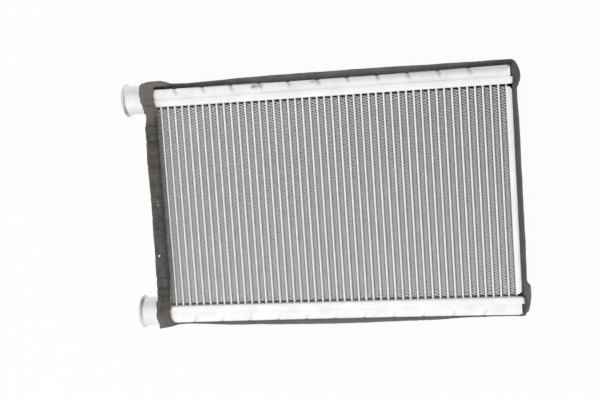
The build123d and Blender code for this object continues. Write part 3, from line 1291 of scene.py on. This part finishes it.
tape = foam_form("edge_foam_tape", "edge_tape", 0.75, 3)
shape_tape(tape)
roughen(tape, 9.0, 0.22, 1.6, 0.12)
hand_over(tape, "edge_tape", tape_foam_finish, "edge_foam", "edge_foam_tape", smooth=60)
print("Edge tape:", triangles(tape), "triangles")

# %% [markdown]
# The wide piece is pinched where it bends round the upper pan's end, bulges past it and is
# folded over the tanks. It has creases across it where it has been handled, darkened by painted
# shade, and it is palest over the upper tank. Its inner edge beside the core carries painted
# shade too. Each push below fades to nothing at the edge that lies on the core.

# %% Side foam
# Along the core: how far the wide piece's outer side stands in from the solid's
LEFT_LINE = (
    (-78.0, -0.5),
    (-73.4, -0.4),
    (-70.0, -0.8),
    (-64.5, 0.5),
    (-58.0, 0.0),
    (-52.0, 0.3),
    (-45.0, 0.65),
    (-20.0, 0.9),
    (5.0, 1.15),
    (30.0, 0.7),
    (43.0, 1.1),
    (50.5, 1.1),
    (56.0, 2.3),
    (60.0, 2.6),
    (63.0, 1.9),
    (68.0, 0.2),
    (72.0, -1.4),
    (76.0, -1.5),
    (78.0, 0.0),
)
# Along the folds: how much the upper one is raised, and how thick the lower one is
UPPER_FOLD_TOP = ((-112.0, 0.2), (-110.5, 0.7), (-101.7, 0.7), (-99.5, -1.3), (-98.0, -2.0))
LOWER_FOLD_THICKNESS = ((-114.0, 2.9), (-112.0, 2.2), (-107.0, 2.0), (-104.0, 1.5))
FOLD = 4.2
CORNER = (-111.4, 75.0)
CORNER_RADIUS = 3.3
# The foam tucks in at the tanks' corners: where each one is, and how far it is pushed
TUCK_X = -106.3
TUCKS = ((73.2, 0.3), (-73.2, 0.35))
# Where a crease runs across, and how strong it is
CREASES = (
    (51.4, 1.0),
    (41.5, 1.0),
    (33.0, 0.4),
    (26.0, 0.8),
    (-6.7, 0.4),
    (-13.0, 0.5),
    (-44.1, 0.9),
    (-50.4, 0.8),
    (-55.5, 0.9),
    (64.0, 0.5),
)


def shape_side_foam(piece):
    creases = []
    worn = []
    shades = []
    for vertex in piece.data.vertices:
        x = vertex.co.x / MM - CORE_X
        y = vertex.co.y / MM
        z = vertex.co.z / MM
        outer = ramp_between(-106.5, -113.5, x)
        inner = ramp_between(-109.5, -106.5, x)
        # The upper corner is rounded, the fold over the tank is full and thins at its end
        corner_x, corner_y = CORNER
        away = math.hypot(x - corner_x, y - corner_y)
        if x < corner_x and y > corner_y and away > CORNER_RADIUS:
            x = corner_x + (x - corner_x) * CORNER_RADIUS / away
            y = corner_y + (y - corner_y) * CORNER_RADIUS / away
        upper = ramp_between(TANK_Y, TANK_Y + FOLD, y)
        lower = ramp_between(-TANK_Y, -TANK_Y - FOLD, y)
        new_y = y + upper * between(UPPER_FOLD_TOP, x)
        new_y -= upper * 2.6 * ramp_between(26, 10, z) * ramp_between(-109, -102, x)
        # Its front reaches out over the cover's bend
        lap = ramp_between(-109.0, -106.0, x) * ramp_between(22, 26, z)
        new_y += 1.9 * lap * ramp_between(70.5, 72.5, y) * (1 - upper)
        # The lower fold is pulled thin, its front lower towards its end
        new_y += lower * (FOLD - between(LOWER_FOLD_THICKNESS, x)) * ramp_between(13, 23, z)
        new_z = z - 3.5 * ramp_between(-72.5, -76.0, y) * ramp_between(-111, -106, x) * (z / 31)
        # The lap is pressed down on the tank covers, which stand lower than the pans
        pressed = ramp_between(66.9, 68.0, abs(y)) * ramp_between(75.0, 73.2, abs(y))
        if z > 26:
            new_z -= 1.4 * pressed * ramp_between(-111.5, -109.0, x)
        new_x = x + outer * (between(LEFT_LINE, y) - 0.2)
        # The lap rounds the tanks' corners and crosses the lower tank a little further out
        new_x -= inner * (1.5 * bell(y + 69.0, 5.0) + 1.4 * bell(y - 70.0, 4.0))
        beside_core = ramp_between(62, 57, y) * ramp_between(-56, -45, y)
        new_x += 0.8 * inner * ramp_between(26, 28, z) * beside_core
        new_x += outer * 0.5 * bell(y + 59.6, 1.3)
        for corner_y, push in TUCKS:
            near = bell(math.hypot(x - TUCK_X, y - corner_y), 1.5)
            new_x += push * near
            new_y -= math.copysign(push * near, corner_y)
        wobble = 0.9 * noise.noise(Vector((x / 3.0, y / 9.0, 5.0)))
        crease_and_shade = max(strength * bell(y - place - wobble, 0.55) for place, strength in CREASES)
        if z > 29.5:
            new_z -= 0.35 * crease_and_shade
        new_x += 0.3 * crease_and_shade * ramp_between(-113.0, -114.0, x)
        vertex.co = Vector(((CORE_X + new_x) * MM, new_y * MM, new_z * MM))
        # The creases are darkened by painted shade
        creases.append(crease_and_shade)
        worn.append(
            ramp_between(48, 68, y)
            + 0.75 * ramp_between(-64.0, -71.0, y)
            + 0.35 * ramp_between(-113.2, -114.4, x)
        )
        # Painted shade darkens the inner edge beside the core
        shades.append(0.8 * ramp_between(-108.8, -106.8, x) * ramp_between(62, 56, abs(y)))
    mark_vertices(piece, "crease_and_shade", creases)
    mark_vertices(piece, "wear", worn)
    mark_vertices(piece, "shade", shades)


side_foam = foam_form("pipe_side_foam", "side_seal", 0.75, 3)
shape_side_foam(side_foam)
roughen(side_foam, 9.0, 0.22, 1.6, 0.14)
hand_over(side_foam, "side_seal", side_foam_finish, "side_foam", "pipe_side_foam", smooth=60)
print("Side foam:", triangles(side_foam), "triangles")

# %% Sizes and the end
shown = [o for o in bpy.context.scene.objects if o.type == "MESH" and not o.hide_render]
print("Triangles in all:", sum(triangles(o) for o in shown))
